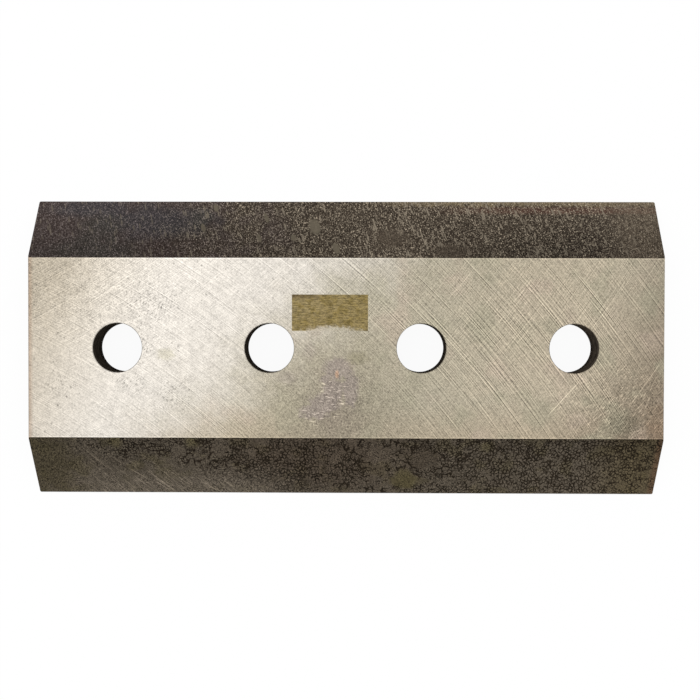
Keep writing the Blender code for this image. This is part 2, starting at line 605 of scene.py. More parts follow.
handled = land.spot(-5.0, -27.5, 25.5, 26.0, Feather=0.8, Raggedness=0.2, Ragged_Size=9.0)
land.stain(handled, HANDLED_STEEL, 0.7)
land.stain(land.spot(-4.0, -26.0, 9.0, 13.0, Feather=0.8, Ragged_Size=4.0), DARK_SMUDGE, 0.5)
smudged = land.spots(SMUDGES, Feather=0.3, Raggedness=0.4, Ragged_Size=2.0)
land.stain(smudged, SMUDGE, 0.75)
land.stain(land.spots(FAINT_SMUDGES), SMUDGE, 0.35)
land.stain(land.spot(5.4, -4.0, 4.0, 2.4, Raggedness=0.4, Ragged_Size=1.5), OLIVE_SMUDGE, 0.5)
land.stain(land.spot(-3.4, -10.8, 0.7, 1.4), ORANGE_DOT, 0.4)
scribbles = land.use("rubs", Turn=0.1, Spacing=0.5, Run=3.2, Threshold=0.59, Seed=9.0)["Mask"]
land.mark(scribbles * (land.spots(SCRIBBLED, Feather=0.6) + handled * 0.25), tone=1.4, roughness=-0.05)
upright = land.use("rubs", Turn=1.4, Spacing=0.6, Run=3.0, Threshold=0.62, Seed=12.0)["Mask"]
land.mark(upright * handled, tone=0.5, roughness=-0.05)

# %% [markdown]
# ### The etched field
#
# A plain etched field lies between the two middle holes, as a gold-brown rectangle. Two ramps on the distance
# from its middle draw it. Its upper left is the darkest, fine streaks of the etching run across it, and wear
# has eaten into its lower edge.

# %% Land: the etched field
ETCHED = seen(138, 121, 75)
ETCHED_DARK = seen(100, 84, 60)
FIELD_MIDDLE = (-6.4, 14.75)
FIELD_HALF = (15.9, 7.6)

gap_x = land.bench.math("ABSOLUTE", land.x - FIELD_MIDDLE[0]) - FIELD_HALF[0]
gap_y = land.bench.math("ABSOLUTE", land.y - FIELD_MIDDLE[1]) - FIELD_HALF[1]
field_wear = land.spot(-5.6, 6.3, 11.5, 2.9, Feather=0.3, Raggedness=0.3, Ragged_Size=1.5)
etched = land.ramp(gap_x, 0.1, -0.2) * land.ramp(gap_y, 0.1, -0.2) * (1.0 - field_wear * 0.9)
land.stain(etched * land.ramp(land_grain["Mottle"], -1.2, 0.6, 1.0, 0.88), ETCHED)
dark_rim = land.ramp(land.y + land_grain["Mottle"] * 0.5, 19.6, 22.2) * land.ramp(land.x, -4.0, -20.0)
land.stain(etched * dark_rim, ETCHED_DARK, 0.75)
streaks = noise(land.bench, land.place / (2.6, 0.5, 1.0), 1.0, 2.0)
land.mark(etched * land.ramp(streaks, 0.3, 0.7, -1.0, 1.0), tone=0.32)
land.mark(etched, roughness=0.2, height=-0.02)

# %% [markdown]
# ### Arcs and scratches
#
# Now the grinder's work: one family of arcs falls to the right and is the stronger, and its mirror rises. The
# arcs are strong on the tan side, fainter on the bright one, where the painted highlight washes them out, and
# rubbed out in the handled middle. Their lit and dark sides go into the colour as painted light and shade,
# and into the height. The few scratches that the eye picks out are placed one by one, and short rubs cross
# the rough corner.

# %% Land: arcs and scratches
falling = land.use("grinding_arcs", Seed=1.0)
rising = land.use("grinding_arcs", Wheel_Centre=MIRRORED_CENTRE, Seed=41.0, Run=10.0)
upper_left = land.ramp(land.x, -60.0, -110.0) * land.ramp(land.y, -5.0, 20.0)
rising_share = land.ramp(land.y + land_grain["Blotches"] * 16.0, -20.0, 36.0, 0.15, 0.5) + upper_left * 0.5
falling_share = falling["Bundles"] * 0.75 + 0.4
keen = land.spot(74.0, 0.0, 46.0, 20.0, Feather=0.8)
kept = (1.0 - handled * 0.75) * (1.0 - etched * 0.6) * (keen * 0.55 + 0.72)
strength = land.ramp(clean_and_highlight_side, 0.0, 1.0, 1.0, 0.52) * kept
ground = falling["Lines"] * falling_share + rising["Lines"] * rising_share
scratched = falling["Scratches"] * falling_share + rising["Scratches"] * rising_share
# Painted light and shade: the arcs' lit and dark sides lighten and darken the colour, over the grooves' own
# tone.
land.mark(ground * strength, tone=0.5, roughness=0.04, height=0.006)
land.mark(scratched * strength, tone=0.5, height=0.01)

SINGLE_SCRATCHES = (
    ((45.6, 23.1), (55.9, 36.8), 0.35),
    ((83.7, -28.6), (98.2, -12.7), 0.9),
    ((117.2, -25.3), (131.6, -5.0), 0.85),
    ((42.4, 20.2), (53.4, 33.1), 0.3),
    ((58.8, 5.6), (66.7, 14.4), 0.6),
    ((69.2, 18.6), (74.6, 24.8), 0.6),
)
for start, stop, brightness in SINGLE_SCRATCHES:
    line = land.use("single_scratch", Start=(*start, thickness), End=(*stop, thickness), Width=0.2)["Mask"]
    land.mark(line, tone=brightness, roughness=-0.05)
corner_rubs = land.use("rubs", Turn=-0.85, Spacing=0.45, Run=3.0, Threshold=0.55, Seed=21.0)["Mask"]
land.mark(corner_rubs * rough_corner, tone=0.8, roughness=-0.05)

# %% [markdown]
# ### Pits, crumbs and grain
#
# Small round pits lie thinly on the left, and crumbs of old dirt gather in a few clusters there and in the
# rough corner. Soft patches and a fine grain take the last evenness out of the steel.

# %% Land: pits, crumbs and grain
OLIVE_DUST = seen(170, 164, 134)
CRUMBLED = (
    (-84.9, -1.0, 5.0, 7.0),
    (-71.1, -19.7, 7.0, 6.0),
    (-81.5, 18.7, 11.0, 8.0),
    (-88.6, -15.2, 7.0, 4.0),
    (-121.3, -15.7, 4.5, 5.0),
)
pits = land.use("flecks", Size=0.9, Stretch=1.2, Cover=0.025, Seed=5.0)["Mask"]
land.mark(pits * clean_and_highlight_side, tone=-0.3, height=-0.04)
crumbled = land.spots(CRUMBLED, Feather=0.6, Raggedness=0.4, Ragged_Size=3.0)
crumbs = land.use("speckle", Size=0.65, Stretch=2.3, Turn=0.7, Level=0.58, Seed=17.0)["Mask"]
land.mark(crumbs * (crumbled + rough_corner * 0.7 + handled * 0.8), tone=-0.32, height=-0.03)
land.stain(land.spot(-74.8, -2.6, 3.4, 2.4, Raggedness=0.5, Ragged_Size=1.2), OLIVE_DUST, 0.35)
patches = noise(land.bench, land.place, 0.26, 3.0, 0.6)
land.mark(land.ramp(patches, 0.3, 0.7, -1.0, 1.0) * (clean_and_highlight_side + handled * 0.6), tone=0.08)
graininess = tan_side * 0.4 + rough_corner * 0.5 + handled * 0.3 + upper_left * 0.5 + 0.8
land.mark(land_grain["Fine"] * graininess, tone=0.24, height=0.002)
land.mark(land_grain["Mottle"], tone=0.06, roughness=0.03)
to_edge = land.bench.math("ABSOLUTE", land.y) - half_land
# Painted highlight and wear: the land's edges are lighter, partly rubbed bare, partly the arris's highlight.
land.mark(land.use("worn_line", Distance=to_edge, Width=0.5)["Mask"], tone=0.3)
land.done()

# %% [markdown]
# ## The upper bevel
#
# The bevels keep the dark skin of heat treatment. On the upper one the skin is nearly black, and it is broken
# by small pale dots and leaning flecks, which stand out more to the right. The left third has bluish,
# greenish and purple tints, which are thicknesses of the same scale. To the right a golden strip follows the
# cutting edge, with a reddish one below it.

# %% Upper bevel: scale and its tints
DARK_SCALE = seen(60, 52, 44)
PURPLISH_SCALE = seen(64, 54, 52)
BLUISH_SCALE = seen(58, 58, 62)
GREENISH_SCALE = seen(57, 56, 51)
BROWN_SCALE = seen(56, 46, 40)
GOLDEN_SCALE = seen(128, 114, 88)
REDDISH_SCALE = seen(92, 66, 56)
BLUED = ((-79.3, 53.5, 20.0, 7.0), (-110.0, 60.0, 16.0, 3.5))
GREENED = ((-104.5, 50.7, 9.0, 5.5), (-105.0, 41.0, 18.0, 4.5), (-62.0, 55.0, 5.0, 4.0))
BROWNED = ((-72.9, 41.5, 15.0, 4.5),)
TINTS = ((BLUED, BLUISH_SCALE), (GREENED, GREENISH_SCALE), (BROWNED, BROWN_SCALE))
RED_LINE = 4.0

upper = Finish("upper_bevel", DARK_SCALE, 0.52)
upper_grain = upper.use("steel_grain", Seed=13.0)
to_left = upper.ramp(upper.x + upper_grain["Blotches"] * 22.0, -20.0, -90.0)
down_slope = half_width - upper.y
upper.stain(to_left, PURPLISH_SCALE, 0.8)
for places, colour in TINTS:
    upper.stain(upper.spots(places, Feather=0.6, Raggedness=0.4, Ragged_Size=8.0), colour, 0.6)
golden = upper.ramp(down_slope + upper_grain["Mottle"] * 1.2, 3.0, 0.6) * upper.ramp(upper.x, 0.0, 40.0)
upper.stain(golden, GOLDEN_SCALE, 0.6)
from_red_line = upper.bench.math("ABSOLUTE", down_slope - RED_LINE)
reddened = upper.ramp(from_red_line, 2.4, 0.6) * upper.ramp(upper.x, 30.0, 70.0)
upper.stain(reddened, REDDISH_SCALE, 0.55)

# %% [markdown]
# The speckle is the finest broken scale, and fine dots lie thickly over it. Then come leaning flecks, long
# ones in two places, and a few smooth ovals where the scale has come away whole. The right end is duller and
# paler, and broad lighter and darker places go on last.

# %% Upper bevel: speckle, flecks and ovals
PALE_SCALE = seen(178, 165, 145)
ASHEN_SCALE = seen(166, 153, 148)
FLECK_SCALE = seen(132, 122, 107)
SMOOTH_SCALE = seen(106, 98, 84)
DULL_SCALE = seen(106, 95, 81)
RUBBED_SCALE = seen(76, 67, 57)
LONG_FLECKED = ((38.0, 52.0, 22.0, 14.0), (108.0, 56.0, 12.0, 10.0))
RUBBED_PLACES = ((18.7, 46.4, 6.5, 4.5), (45.0, 40.5, 8.0, 3.0))
DARKER_PLACES = ((92.0, 42.0, 18.0, 7.0), (-66.0, 53.0, 24.0, 6.0), (-28.0, 60.0, 16.0, 5.0))
PALE_OVALS = (
    (-13.2, 51.4, 2.3, 3.5),
    (-4.0, 41.8, 1.4, 2.5),
    (-22.0, 46.4, 1.1, 1.5),
    (-34.0, 55.5, 0.8, 2.4),
    (-36.4, 46.2, 0.8, 2.0),
    (-60.6, 50.9, 0.9, 2.0),
    (-56.0, 60.0, 1.0, 1.8),
)

speckle = upper.use("speckle", Size=0.34, Stretch=1.7, Turn=-0.34, Level=0.63, Seed=2.0)["Mask"]
contrast = upper.ramp(to_left, 0.0, 1.0, 0.95, 0.5)
pale = blend(upper.bench, to_left, PALE_SCALE, ASHEN_SCALE)
upper.stain(speckle * contrast, pale, 0.6)
upper.mark(speckle, roughness=-0.08, height=0.01)
dots = upper.use("flecks", Size=0.48, Stretch=1.6, Turn=-0.28, Cover=0.65, Seed=4.0)
upper.stain(dots["Mask"] * contrast * (dots["Tone"] * 0.7 + 0.1), pale)
flecks = upper.use("flecks", Size=0.9, Stretch=4.0, Turn=-0.28, Cover=0.14, Seed=6.0)
upper.stain(flecks["Mask"] * (flecks["Tone"] * 0.3 + 0.7) * (1.0 - to_left * 0.6), FLECK_SCALE)
long_flecks = upper.use("flecks", Size=0.85, Stretch=5.6, Turn=-0.28, Cover=0.16, Seed=8.0)
around = upper.spots(LONG_FLECKED, Feather=0.6)
upper.stain(long_flecks["Mask"] * around * (long_flecks["Tone"] * 0.3 + 0.7), FLECK_SCALE)
smooth = upper.spots(RUBBED_PLACES, Feather=0.6, Ragged_Size=3.0)
upper.stain(smooth, RUBBED_SCALE, 0.75)
upper.stain(upper.ramp(upper.x, 104.0, 122.0), DULL_SCALE, 0.42)
ovals = upper.spots(PALE_OVALS, Turn=-0.35, Feather=0.24, Raggedness=0.1, Ragged_Size=1.5)
upper.stain(ovals, SMOOTH_SCALE, 0.9)
upper_unevenness = 1.0 - ovals * 0.8 - flecks["Mask"] * 0.7 - to_left * 0.3
upper.mark(upper_grain["Fine"] * upper_unevenness, tone=0.75, height=0.003)
upper.mark(upper_grain["Mottle"], tone=0.05, roughness=0.04)
upper.mark(upper.ramp(down_slope, 0.0, 25.0, 0.18, -0.18), tone=1.0)
upper.mark(upper.spot(18.0, 42.0, 19.0, 8.0, Feather=0.8), tone=0.28)
upper.mark(upper.spots(DARKER_PLACES, Feather=0.8), tone=-0.15)
upper.done()

# %% [markdown]
# ## The lower bevel
#
# The skin of the lower bevel has cracked into pale islands with dark veins between them: large islands under
# the land, and grains as fine as sand to the right. The left third has stayed whole and smooth. Crowd says
# how thickly the veins lie. It follows a slanting border and a few dense zones, and spares the smooth
# islands.

# %% Lower bevel: where the scale has flaked
WHOLE_SCALE = seen(88, 80, 69)
SMOOTH_ISLANDS = (
    (-70.1, -43.3, 3.4, 2.6),
    (-96.2, -39.2, 2.6, 2.2),
    (-64.8, -39.6, 2.4, 2.2),
    (-53.0, -42.0, 2.6, 4.6),
    (-36.0, -39.6, 4.6, 2.0),
    (-39.2, -43.9, 1.9, 1.9),
    (2.4, -39.6, 2.8, 1.6),
    (-4.0, -47.2, 2.2, 2.2),
    (14.3, -46.0, 4.4, 5.2),
    (33.1, -46.8, 5.6, 4.4),
    (25.0, -56.4, 5.0, 4.6),
    (58.6, -41.2, 1.9, 1.7),
    (43.5, -57.4, 3.4, 2.4),
)

DENSE_ZONES = (
    (-90.0, -41.5, 24.0, 6.5),
    (-66.0, -41.0, 14.0, 4.0),
    (-24.0, -46.0, 30.0, 15.0),
    (66.0, -46.0, 34.0, 18.0),
    (112.0, -46.0, 26.0, 20.0),
)

lower = Finish("lower_bevel", WHOLE_SCALE, 0.5)
lower_grain = lower.use("steel_grain", Seed=23.0)
below_land = -1.0 * lower.y - half_land
broken = lower.x - below_land * 3.2 + lower_grain["Blotches"] * 10.0
flaking = lower.ramp(broken, -138.0, -100.0)
dense = lower.spots(DENSE_ZONES, Feather=0.5, Raggedness=0.4, Ragged_Size=6.0)
patchy = lower.ramp(noise(lower.bench, lower.place, 0.2, 2.0, 0.5), 0.36, 0.58)
islands = lower.spots(SMOOTH_ISLANDS, Feather=0.25, Raggedness=0.2, Ragged_Size=2.2)
crowd = flaking * (dense * 0.53 + patchy * 0.25 + 0.26) * (1.0 - islands * 0.9)

# %% [markdown]
# The veins come from the crackle, in two sizes. In the sandy middle only the small one is left. Olive tints
# lie over the skin, most of all at the left end, and soft clots darken it there. The lower edge has been
# rubbed lighter on the left and far right, and a few hard knocks have left straight scratches in it.

# %% Lower bevel: veins, tints and scratches
FLAKED = seen(33, 26, 18)
LEFT_OLIVE = seen(70, 63, 45)
SMOKED = seen(66, 58, 48)
UMBER = seen(76, 64, 53)
OLIVE = seen(84, 77, 50)
OLIVE_BROWN = seen(84, 74, 50)
WORN_SCALE = seen(112, 103, 91)
END_RUST = seen(96, 70, 54)
OLIVE_ISLANDS = ((-96.5, -39.2, 3.0, 2.5), (-64.2, -39.5, 3.0, 2.5), (59.4, -40.8, 3.0, 2.5))
CLOTTED = (
    (-126.0, -50.0, 12.0, 14.0),
    (-100.0, -42.0, 30.0, 6.0),
    (-30.0, -56.0, 30.0, 6.0),
)
HARD_SCRATCHES = (
    ((-92.6, -51.4), (-85.6, -56.2)),
    ((-85.4, -52.0), (-77.8, -58.7)),
    ((-81.8, -57.8), (-75.2, -62.2)),
    ((-79.8, -57.0), (-73.8, -62.2)),
    ((-61.2, -57.8), (-55.0, -62.4)),
    ((-52.4, -57.0), (-48.2, -60.4)),
    ((-41.8, -58.6), (-38.0, -62.3)),
    ((-110.5, -42.0), (-101.6, -51.5)),
)

sandy = lower.ramp(lower.bench.math("ABSOLUTE", lower.x + 22.0), 24.0, 12.0, 0.0, 0.7)
in_large = lower.ramp(crowd, 0.1, 0.4) * lower.ramp(lower.x, 70.0, 30.0, 0.35, 1.0) * (1.0 - sandy)
in_large = in_large * lower.ramp(lower.x, -84.0, -62.0, 0.35, 1.0)
large = lower.use("crackle", Grain=3.2, Crowd=in_large * 0.52, Seed=7.0)["Mask"]
small = lower.use("crackle", Grain=1.45, Crowd=crowd * 0.9, Seed=1.0)["Mask"]
tint = noise(lower.bench, lower.place, 0.11, 2.0)
lower.stain(lower.ramp(tint, 0.52, 0.66), OLIVE, 0.3)
lower.stain(lower.spot(25.0, -56.4, 5.2, 4.8, Feather=0.3), OLIVE, 0.7)
lower.stain(lower.spots(OLIVE_ISLANDS), OLIVE, 0.5)
lower.stain(lower.ramp(lower.x, 98.0, 122.0), OLIVE_BROWN, 0.6)
left_end = lower.spot(-127.0, -48.0, 12.0, 16.0, Feather=0.6, Raggedness=0.4, Ragged_Size=4.0)
lower.stain(left_end, LEFT_OLIVE, 0.7)
lower.stain(lower.spot(33.0, -46.4, 7.0, 5.5, Feather=0.6), SMOKED, 0.7)
lower.stain(lower.spot(-12.0, -46.0, 34.0, 13.0, Feather=0.8), UMBER, 0.5)
lower.stain(lower.ramp(lower.x, 129.0, 131.5), END_RUST, 0.5)
veins = lower.bench.math("MAXIMUM", large, small)
lower.stain(veins, FLAKED, 0.9)
lower.mark(veins, roughness=0.12, height=-0.02)
worn = lower.ramp(below_land + lower_grain["Mottle"] * 2.0, 11.0, 23.0) * lower.ramp(lower.x, -10.0, -50.0)
lower.stain(worn * lower.ramp(lower.x, -122.0, -100.0), WORN_SCALE, 0.62)
clots = lower.use("speckle", Size=0.8, Stretch=1.5, Turn=0.8, Level=0.55, Seed=19.0)["Mask"]
lower.mark(clots * lower.spots(CLOTTED, Feather=0.8, Ragged_Size=4.0), tone=-0.4)
lower.mark(lower.ramp(below_land, 8.0, 0.5), tone=-0.12)
lower.mark(lower.spot(110.0, -56.0, 36.0, 10.0, Feather=0.8), tone=0.2)
scratches = lower.use("rubs", Turn=0.76, Spacing=0.42, Run=7.0, Threshold=0.54, Seed=3.0)["Mask"]
whole_skin = lower.ramp(flaking, 1.0, 0.0) * lower.ramp(lower.x, -120.0, -100.0)
lower.mark((scratches - 0.26) * whole_skin, tone=0.8)
for ends in HARD_SCRATCHES:
    start, stop = [(x, y, edge_flat + (half_width + y) * bevel_slope) for x, y in ends]
    lower.mark(lower.use("single_scratch", Start=start, End=stop, Width=0.27)["Mask"], tone=1.1)
unevenness = lower.ramp(patchy + lower_grain["Mottle"] * 0.3, 0.0, 1.0, 0.65, 1.1) - whole_skin * 0.22
lower.mark(lower_grain["Fine"] * unevenness, tone=0.9, height=0.003)
lower.mark(lower_grain["Mottle"], tone=0.1, roughness=0.04)
lower.done()

# %% [markdown]
# ## Bores, ends and back
#
# The bores are black with scale and old thread grease, and show the rings of the drill. The one on the right
# is painted lighter, as painted light from the lamp at the upper left on its wall. The ends are sawn and
# ground, and their edges are rubbed bright. The back is a ground face like the land: it has rubbed against
# its seat in the machine, and dirt has crept in around the bolt holes.

# %% Bores, ends and back
BORE_BLACK = seen(57, 51, 44)
PAINTED_LIT_BORE = seen(80, 72, 63)
END_STEEL = seen(108, 101, 90)
END_BROWN = seen(92, 76, 58)
BACK_STEEL = seen(176, 168, 150)
SEAT_STAIN = seen(140, 129, 109)

bore = Finish("bore_wall", BORE_BLACK, 0.8, metallic=0.0, specular=0.0)
bore_grain = bore.use("steel_grain", Seed=33.0)
# Painted light: the right hole's bore, whose wall faces the lamp at the upper left, is painted lighter.
bore.stain(bore.ramp(bore.x, 50.0, 85.0), PAINTED_LIT_BORE)
rings = noise(bore.bench, join(bore.bench, 0.3, 0.3, bore.z * 1.4 + bore_grain["Mottle"] * 0.2), 1.0, 2.0)
bore.mark(bore.ramp(rings, 0.3, 0.7, -1.0, 1.0), tone=0.35, roughness=-0.05, height=0.02)
bore.mark(bore_grain["Mottle"], tone=0.3)
bore.mark(bore_grain["Fine"], tone=0.3, height=0.003)
bore.done()

end = Finish("plate_end", END_STEEL, 0.5)
end_grain = end.use("steel_grain", Seed=43.0)
saw_lines = noise(end.bench, join(end.bench, end.x * 0.1, end.y * 2.2, end.z * 0.12), 1.0, 3.0, 0.6)
end.stain(end.ramp(end_grain["Blotches"] + end_grain["Mottle"] * 0.4, 0.1, 0.8), END_BROWN, 0.5)
end.mark(end.ramp(saw_lines, 0.3, 0.7, -1.0, 1.0), tone=0.22, roughness=0.08, height=0.01)
end.mark(end_grain["Mottle"], tone=0.14, roughness=0.05)
end.mark(end_grain["Fine"], tone=0.22, height=0.003)
end_edge = end.bench.math("MINIMUM", end.z, thickness - end.z)
end.mark(end.use("worn_line", Distance=end_edge, Width=0.6)["Mask"], tone=0.4)
end.done()

back = Finish("back_face", BACK_STEEL, 0.42)
back_grain = back.use("steel_grain", Seed=53.0)
back_falling = back.use("grinding_arcs", Seed=71.0)
back_rising = back.use("grinding_arcs", Wheel_Centre=MIRRORED_CENTRE, Seed=81.0)
around_bolts = back.spots([(x, 0.0, 18.0, 18.0) for x in hole_centres], Feather=0.5, Ragged_Size=4.0)
back.stain(around_bolts, SEAT_STAIN, 0.7)
back.stain(back.ramp(back_grain["Blotches"], -0.9, 1.1), SEAT_STAIN, 0.35)
rubbed = back.ramp(back_grain["Blotches"] + back_grain["Mottle"] * 0.2, 0.0, -0.7, 1.0, 0.35)
back_lines = back_falling["Lines"] * (back_falling["Bundles"] * 0.5 + 0.4) + back_rising["Lines"] * 0.2
back_scratches = back_falling["Scratches"] + back_rising["Scratches"] * 0.4
# Painted light and shade here too: the arcs' lit and dark sides go into the colour as well as the height.
back.mark(back_lines * rubbed, tone=0.45, roughness=0.04, height=0.006)
back.mark(back_scratches * rubbed, tone=0.3, height=0.01)
back.mark(back_grain["Mottle"], tone=0.08, roughness=0.04)
back.mark(back_grain["Fine"], tone=0.2, height=0.002)
back.done()

# %% [markdown]
# ## The plate's mesh
#
# The CAD solid has the right shape, but its long thin triangles suit neither a map for baking nor a soft
# edge. So the plate is skinned again with even quads, as a sheet of points across the plate that is swept
# along it. The profile across runs from one cutting edge over the land to the other, and the corner between
# land and bevel is eased by a small curve, because no real corner is perfectly sharp.

# %% Profile across the front
FIELD = 22.0
FIELD_ROWS = 24
EASE = 0.12
LAND_STEPS, CORNER_STEPS, BEVEL_STEPS = 6, 3, 12


def even_steps(start, stop, count):
    return [start + (stop - start) * step / count for step in range(count + 1)]


def corner_curve():
    """From the land over the eased corner to the bevel, as (y, z)."""
    before = (half_land - EASE, thickness)
    after = (half_land + EASE * math.cos(bevel_angle), thickness - EASE * math.sin(bevel_angle))
    curve = []
    for share in even_steps(0.0, 1.0, CORNER_STEPS)[1:]:
        weights = ((1 - share) ** 2, 2 * share * (1 - share), share**2)
        y = weights[0] * before[0] + weights[1] * half_land + weights[2] * after[0]
        z = weights[0] * before[1] + weights[1] * thickness + weights[2] * after[1]
        curve.append((y, z))
    return curve


outer_land = [(y, thickness) for y in even_steps(FIELD, half_land - EASE, LAND_STEPS)]
corner = corner_curve()
bevel_y = even_steps(corner[-1][0], half_width, BEVEL_STEPS)[1:]
bevel = [(y, edge_flat + (half_width - y) * bevel_slope) for y in bevel_y]
half_profile = outer_land + corner + bevel
half_names = ["land"] * (LAND_STEPS + CORNER_STEPS) + ["bevel"] * BEVEL_STEPS
field_profile = [(y, thickness) for y in even_steps(-FIELD, FIELD, FIELD_ROWS)][1:-1]
profile = [(-y, z) for y, z in reversed(half_profile)] + field_profile + half_profile
print("points across the front:", len(profile))

# %% [markdown]
# Along the plate the columns are laid so that each hole sits in the middle of a square field of 24 by 24. The
# first and last column are the broken edges of the ends.

# %% Columns along the plate
END_STEPS, BETWEEN_STEPS = 6, 8

columns = [-half_length, -half_length + end_break]
field_columns = {}
for index, hole_x in enumerate(hole_centres):
    start = columns[-1]
    count = END_STEPS if index == 0 else BETWEEN_STEPS
    columns += even_steps(start, hole_x - FIELD, count)[1:]
    field_columns[len(columns) - 1] = hole_x
    columns += even_steps(hole_x - FIELD, hole_x + FIELD, FIELD_ROWS)[1:]
columns += even_steps(columns[-1], half_length - end_break, END_STEPS)[1:] + [half_length]
in_field = {start + step for start in field_columns for step in range(FIELD_ROWS)}
print("points along the plate:", len(columns))

# %% [markdown]
# ## The map
#
# So that the finish can be baked for other programs, the skin needs a flat map without overlaps. The whole
# front is laid out in one piece, with the bevels unfolded beside the land, so that scratches cross no seam.
# The back lies above it a little smaller, then the ends, and the four bore walls fill the column that is
# left.

# %% Where each part of the skin lies on the map
SHEET = 270.0
EDGE_ROOM = 0.5
MARGIN = 2.4
BACK_SCALE, END_SCALE, BORE_SCALE = 0.8, 0.9, 0.7
PART_GAP, END_GAP, BORE_GAP, SLEEVE_GAP = 3.0, 5.0, 4.0, 2.0

unfolded = [0.0]
for (y_a, z_a), (y_b, z_b) in zip(profile, profile[1:]):
    unfolded.append(unfolded[-1] + math.hypot(y_b - y_a, z_b - z_a))
front_foot = MARGIN + EDGE_ROOM
back_foot = front_foot + unfolded[-1] + EDGE_ROOM + PART_GAP
end_foot = back_foot + 2 * half_width * BACK_SCALE + PART_GAP
land_middle = front_foot + unfolded[-1] / 2


def on_front(x, row_length):
    return ((x + half_length + MARGIN) / SHEET, (front_foot + row_length) / SHEET)


def on_back(x, y):
    along = (x + half_length) * BACK_SCALE + MARGIN
    return (along / SHEET, ((y + half_width) * BACK_SCALE + back_foot) / SHEET)


print(f"the map is full up to {(end_foot + thickness * END_SCALE) / SHEET:.2f} of its height")

# %% [markdown]
# ## Skinning
#
# Faces are added one at a time with their corners' places, and a dictionary joins corners that meet, so that
# the skin closes up by itself. Each face also keeps its spots on the map and its finish.

# %% Points, faces and patches
FINISHES = [land, upper, lower, bore, end, back]
points, number_of = [], {}
faces, spots, face_finish = [], [], []


def corner_number(place):
    key = tuple(round(value, 4) + 0.0 for value in place)
    if key not in number_of:
        number_of[key] = len(points)
        points.append([value * MM for value in place])
    return number_of[key]


def add_face(places, map_spots, finish):
    faces.append([corner_number(place) for place in places])
    spots.extend(map_spots)
    face_finish.append(FINISHES.index(finish))


def add_strip(first, second, first_spots, second_spots, finish):
    """Faces between two rows of points that run side by side."""
    for k in range(len(first) - 1):
        places = (first[k], first[k + 1], second[k + 1], second[k])
        map_spots = (first_spots[k], first_spots[k + 1], second_spots[k + 1], second_spots[k])
        add_face(places, map_spots, finish)


# %% [markdown]
# ### Front, back and cutting edges
#
# The front is one grid of points, rows across the plate and columns along it, less the square fields around
# the holes. The first and last column are drawn in to the broken edges of the ends. The back repeats the grid
# on a flat face, and a narrow strip down each long side is the blunt that the grinder leaves on the edge.

# %% Skin the front
CLOSE = 0.001


def within_ends(x):
    return abs(x) < half_length - CLOSE


def front_point(x, row):
    """A point of the front, drawn in where the edges of the ends are broken."""
    y, z = profile[row]
    if within_ends(x):
        return (x, y, z)
    side, reach = math.copysign(1.0, y), abs(y)
    if reach > half_land + EASE:
        reach = min(reach, half_width - end_break)
        z = edge_flat + (half_width - reach) * bevel_slope
        return (x, side * reach, z)
    if reach > half_land - EASE - CLOSE:
        reach += end_break / bevel_slope
    return (x, side * reach, z - end_break)


first_field_row = len(half_profile) - 1
row_names = list(reversed(half_names)) + ["land"] * FIELD_ROWS + half_names
for row, name in enumerate(row_names):
    finish = land if name == "land" else (lower if row < first_field_row else upper)
    beside_holes = first_field_row <= row < first_field_row + FIELD_ROWS
    for column in range(len(columns) - 1):
        if beside_holes and column in in_field:
            continue
        xs = (columns[column], columns[column + 1])
        add_strip(
            [front_point(x, row) for x in xs],
            [front_point(x, row + 1) for x in xs],
            [on_front(x, unfolded[row]) for x in xs],
            [on_front(x, unfolded[row + 1]) for x in xs],
            finish,
        )
print("faces on the front, without the fields:", len(faces))

# %% Skin the back and the cutting edges
outside_rows = len(half_profile) - 1
back_rows = even_steps(-half_width, -FIELD, outside_rows) + even_steps(-FIELD, FIELD, FIELD_ROWS)[1:]
back_rows += even_steps(FIELD, half_width, outside_rows)[1:]


def back_point(x, row):
    y = back_rows[row]
    if within_ends(x):
        return (x, y, 0.0)
    return (x, math.copysign(min(abs(y), half_width - end_break), y), end_break)


for row in range(len(back_rows) - 1):
    beside_holes = first_field_row <= row < first_field_row + FIELD_ROWS
    for column in range(len(columns) - 1):
        if beside_holes and column in in_field:
            continue
        xs = (columns[column], columns[column + 1])
        add_strip(
            [back_point(x, row) for x in xs],
            [back_point(x, row + 1) for x in xs],
            [on_back(x, back_rows[row]) for x in xs],
            [on_back(x, back_rows[row + 1]) for x in xs],
            back,
        )

for row, length, finish in ((0, -EDGE_ROOM, lower), (len(profile) - 1, unfolded[-1] + EDGE_ROOM, upper)):
    add_strip(
        [front_point(x, row) for x in columns],
        [back_point(x, row) for x in columns],
        [on_front(x, unfolded[row]) for x in columns],
        [on_front(x, length) for x in columns],
        finish,
    )
print("faces with the back and the edges:", len(faces))

# %% [markdown]
# ### Fields and bores
#
# Inside each square field, rings of points lead from the square's border to the round rim of the hole. The
# border has 96 points and so has the rim, which makes every ring a clean loop. The bore wall is a straight
# sleeve with a broken rim at each end.

# %% Skin the fields around the holes, front and back
AROUND = 4 * FIELD_ROWS
RING_STEPS = 8
RING_CROWDING = 1.25


def on_border(index):
    """A point on the border of a square field, counted from its lower left corner."""
    side, step = divmod(index % AROUND, FIELD_ROWS)
    run = -FIELD + 2 * FIELD * step / FIELD_ROWS
    return ((run, -FIELD), (FIELD, run), (-run, FIELD), (-FIELD, -run))[side]


def on_circle(index, radius):
    angle = math.radians(-135.0 + 360.0 * (index % AROUND) / AROUND)
    return (radius * math.cos(angle), radius * math.sin(angle))


def ring(share):
    """The points of one loop, from the rim at share 0 to the square border at share 1."""
    made = []
    for index in range(AROUND + 1):
        (rim_x, rim_y), (border_x, border_y) = on_circle(index, rim_radius), on_border(index)
        made.append((rim_x + (border_x - rim_x) * share, rim_y + (border_y - rim_y) * share))
    return made


